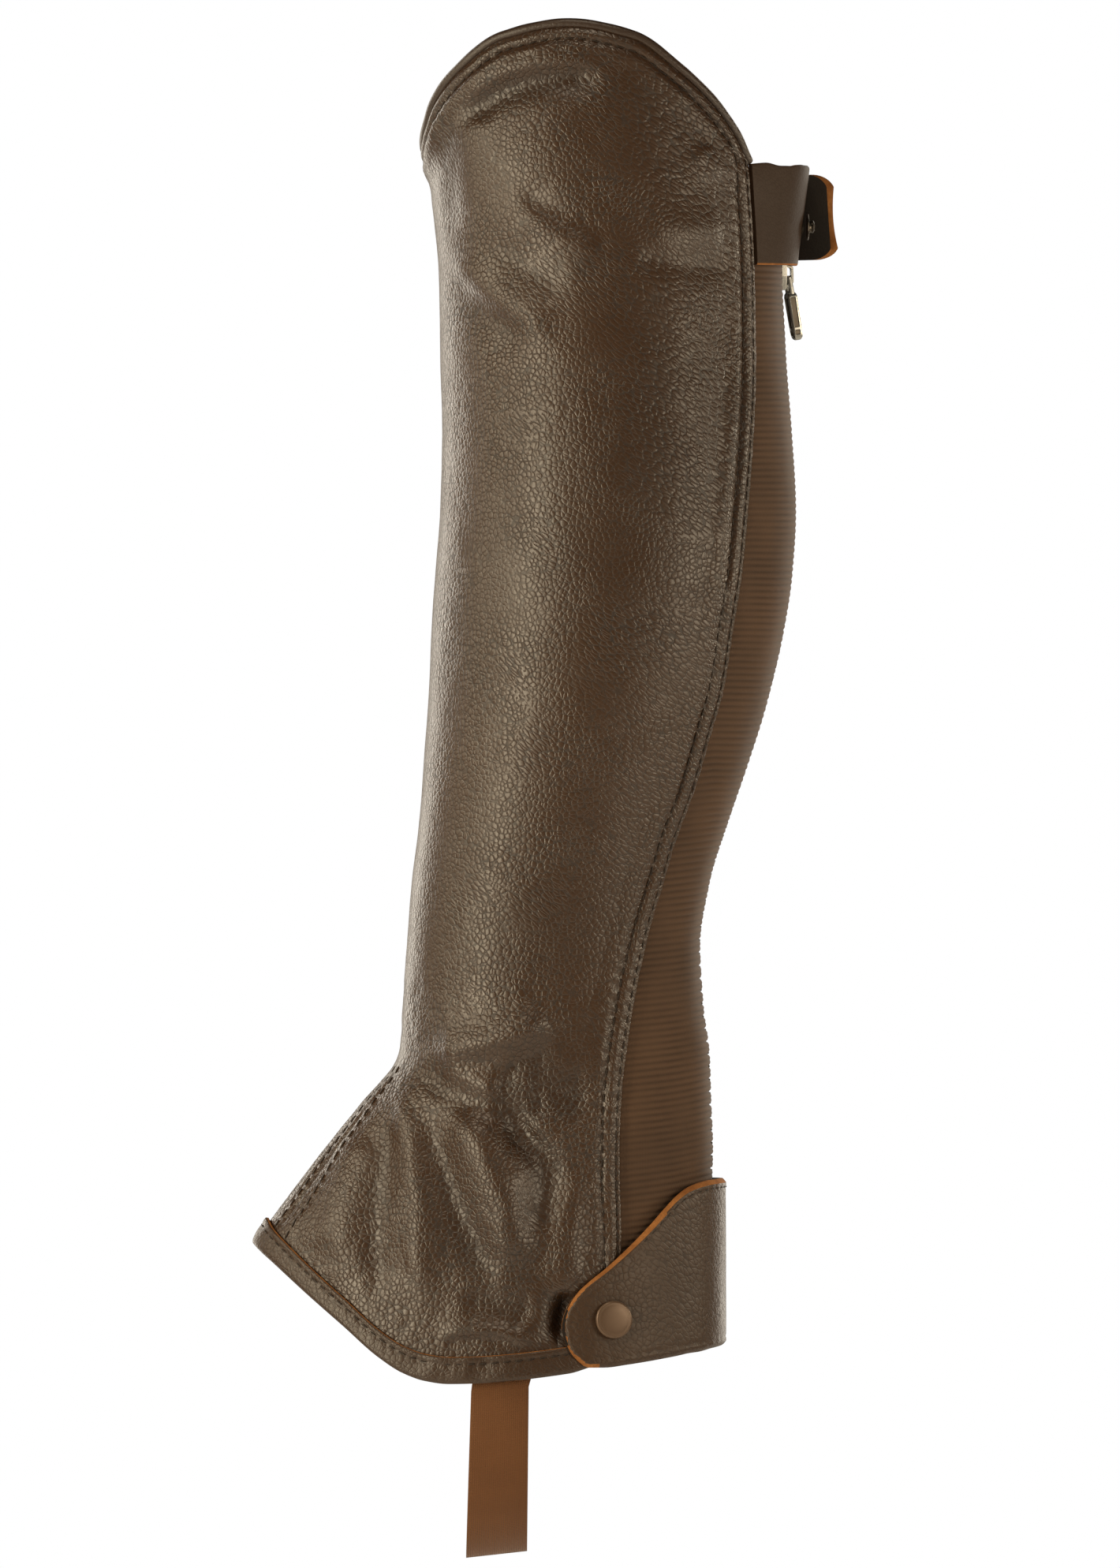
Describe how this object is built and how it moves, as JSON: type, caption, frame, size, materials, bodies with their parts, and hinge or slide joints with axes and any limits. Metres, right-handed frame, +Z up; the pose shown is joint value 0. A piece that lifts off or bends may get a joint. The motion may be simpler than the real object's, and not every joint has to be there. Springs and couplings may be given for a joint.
{
  "type": "half chap",
  "caption": "Leather half chap for the lower leg, with a ribbed elastic gusset, a back zip under a snap tab, a heel tab that snaps at the side and an elastic strap under the boot.",
  "frame": {"origin": "the leg's axis where the calf is fullest, at the mount leg_hold", "axes": "-X towards the toe, +X towards the heel and the zip, -Y towards the outer side of the left leg, +Y towards the horse, +Z up the leg"},
  "size_m": [0.2075, 0.1139, 0.5458],
  "materials": {
    "leather": "pebbled brown leather, semi-gloss, with tan raw edges",
    "elastic": "ribbed brown elastic",
    "strap": "woven tan-brown elastic webbing",
    "zip_tape": "woven dark brown tape",
    "zip_teeth": "dark brown teeth",
    "zip_metal": "silver metal",
    "snap": "brown enamel",
    "snap_metal": "dark metal"
  },
  "bodies": {
    "chap": {"leather_upper": "leather", "hem_binding": "leather", "rim_piping": "leather", "elastic_gusset": "elastic", "zip_tape_outer": "zip_tape", "zip_tape_inner": "zip_tape", "zip_chain": "zip_teeth", "zip_slider": "zip_metal", "top_tab_outer": "leather", "top_tab_inner": "leather", "top_snap_stud": "snap_metal", "top_snap_socket": "snap_metal", "top_snap_cap": "snap", "heel_tab": "leather", "heel_snap_cap": "snap", "foot_strap": "strap"},
    "pull": {"zip_pull": "zip_metal"}
  },
  "joints": [
    {"name": "pull_hinge", "type": "hinge", "parent": "chap", "child": "pull", "pos_m": [0.06015, 0.01252, 0.08356], "axis": [0.2377, -0.9713, 0], "range_deg": [-4, 95]}
  ]
}
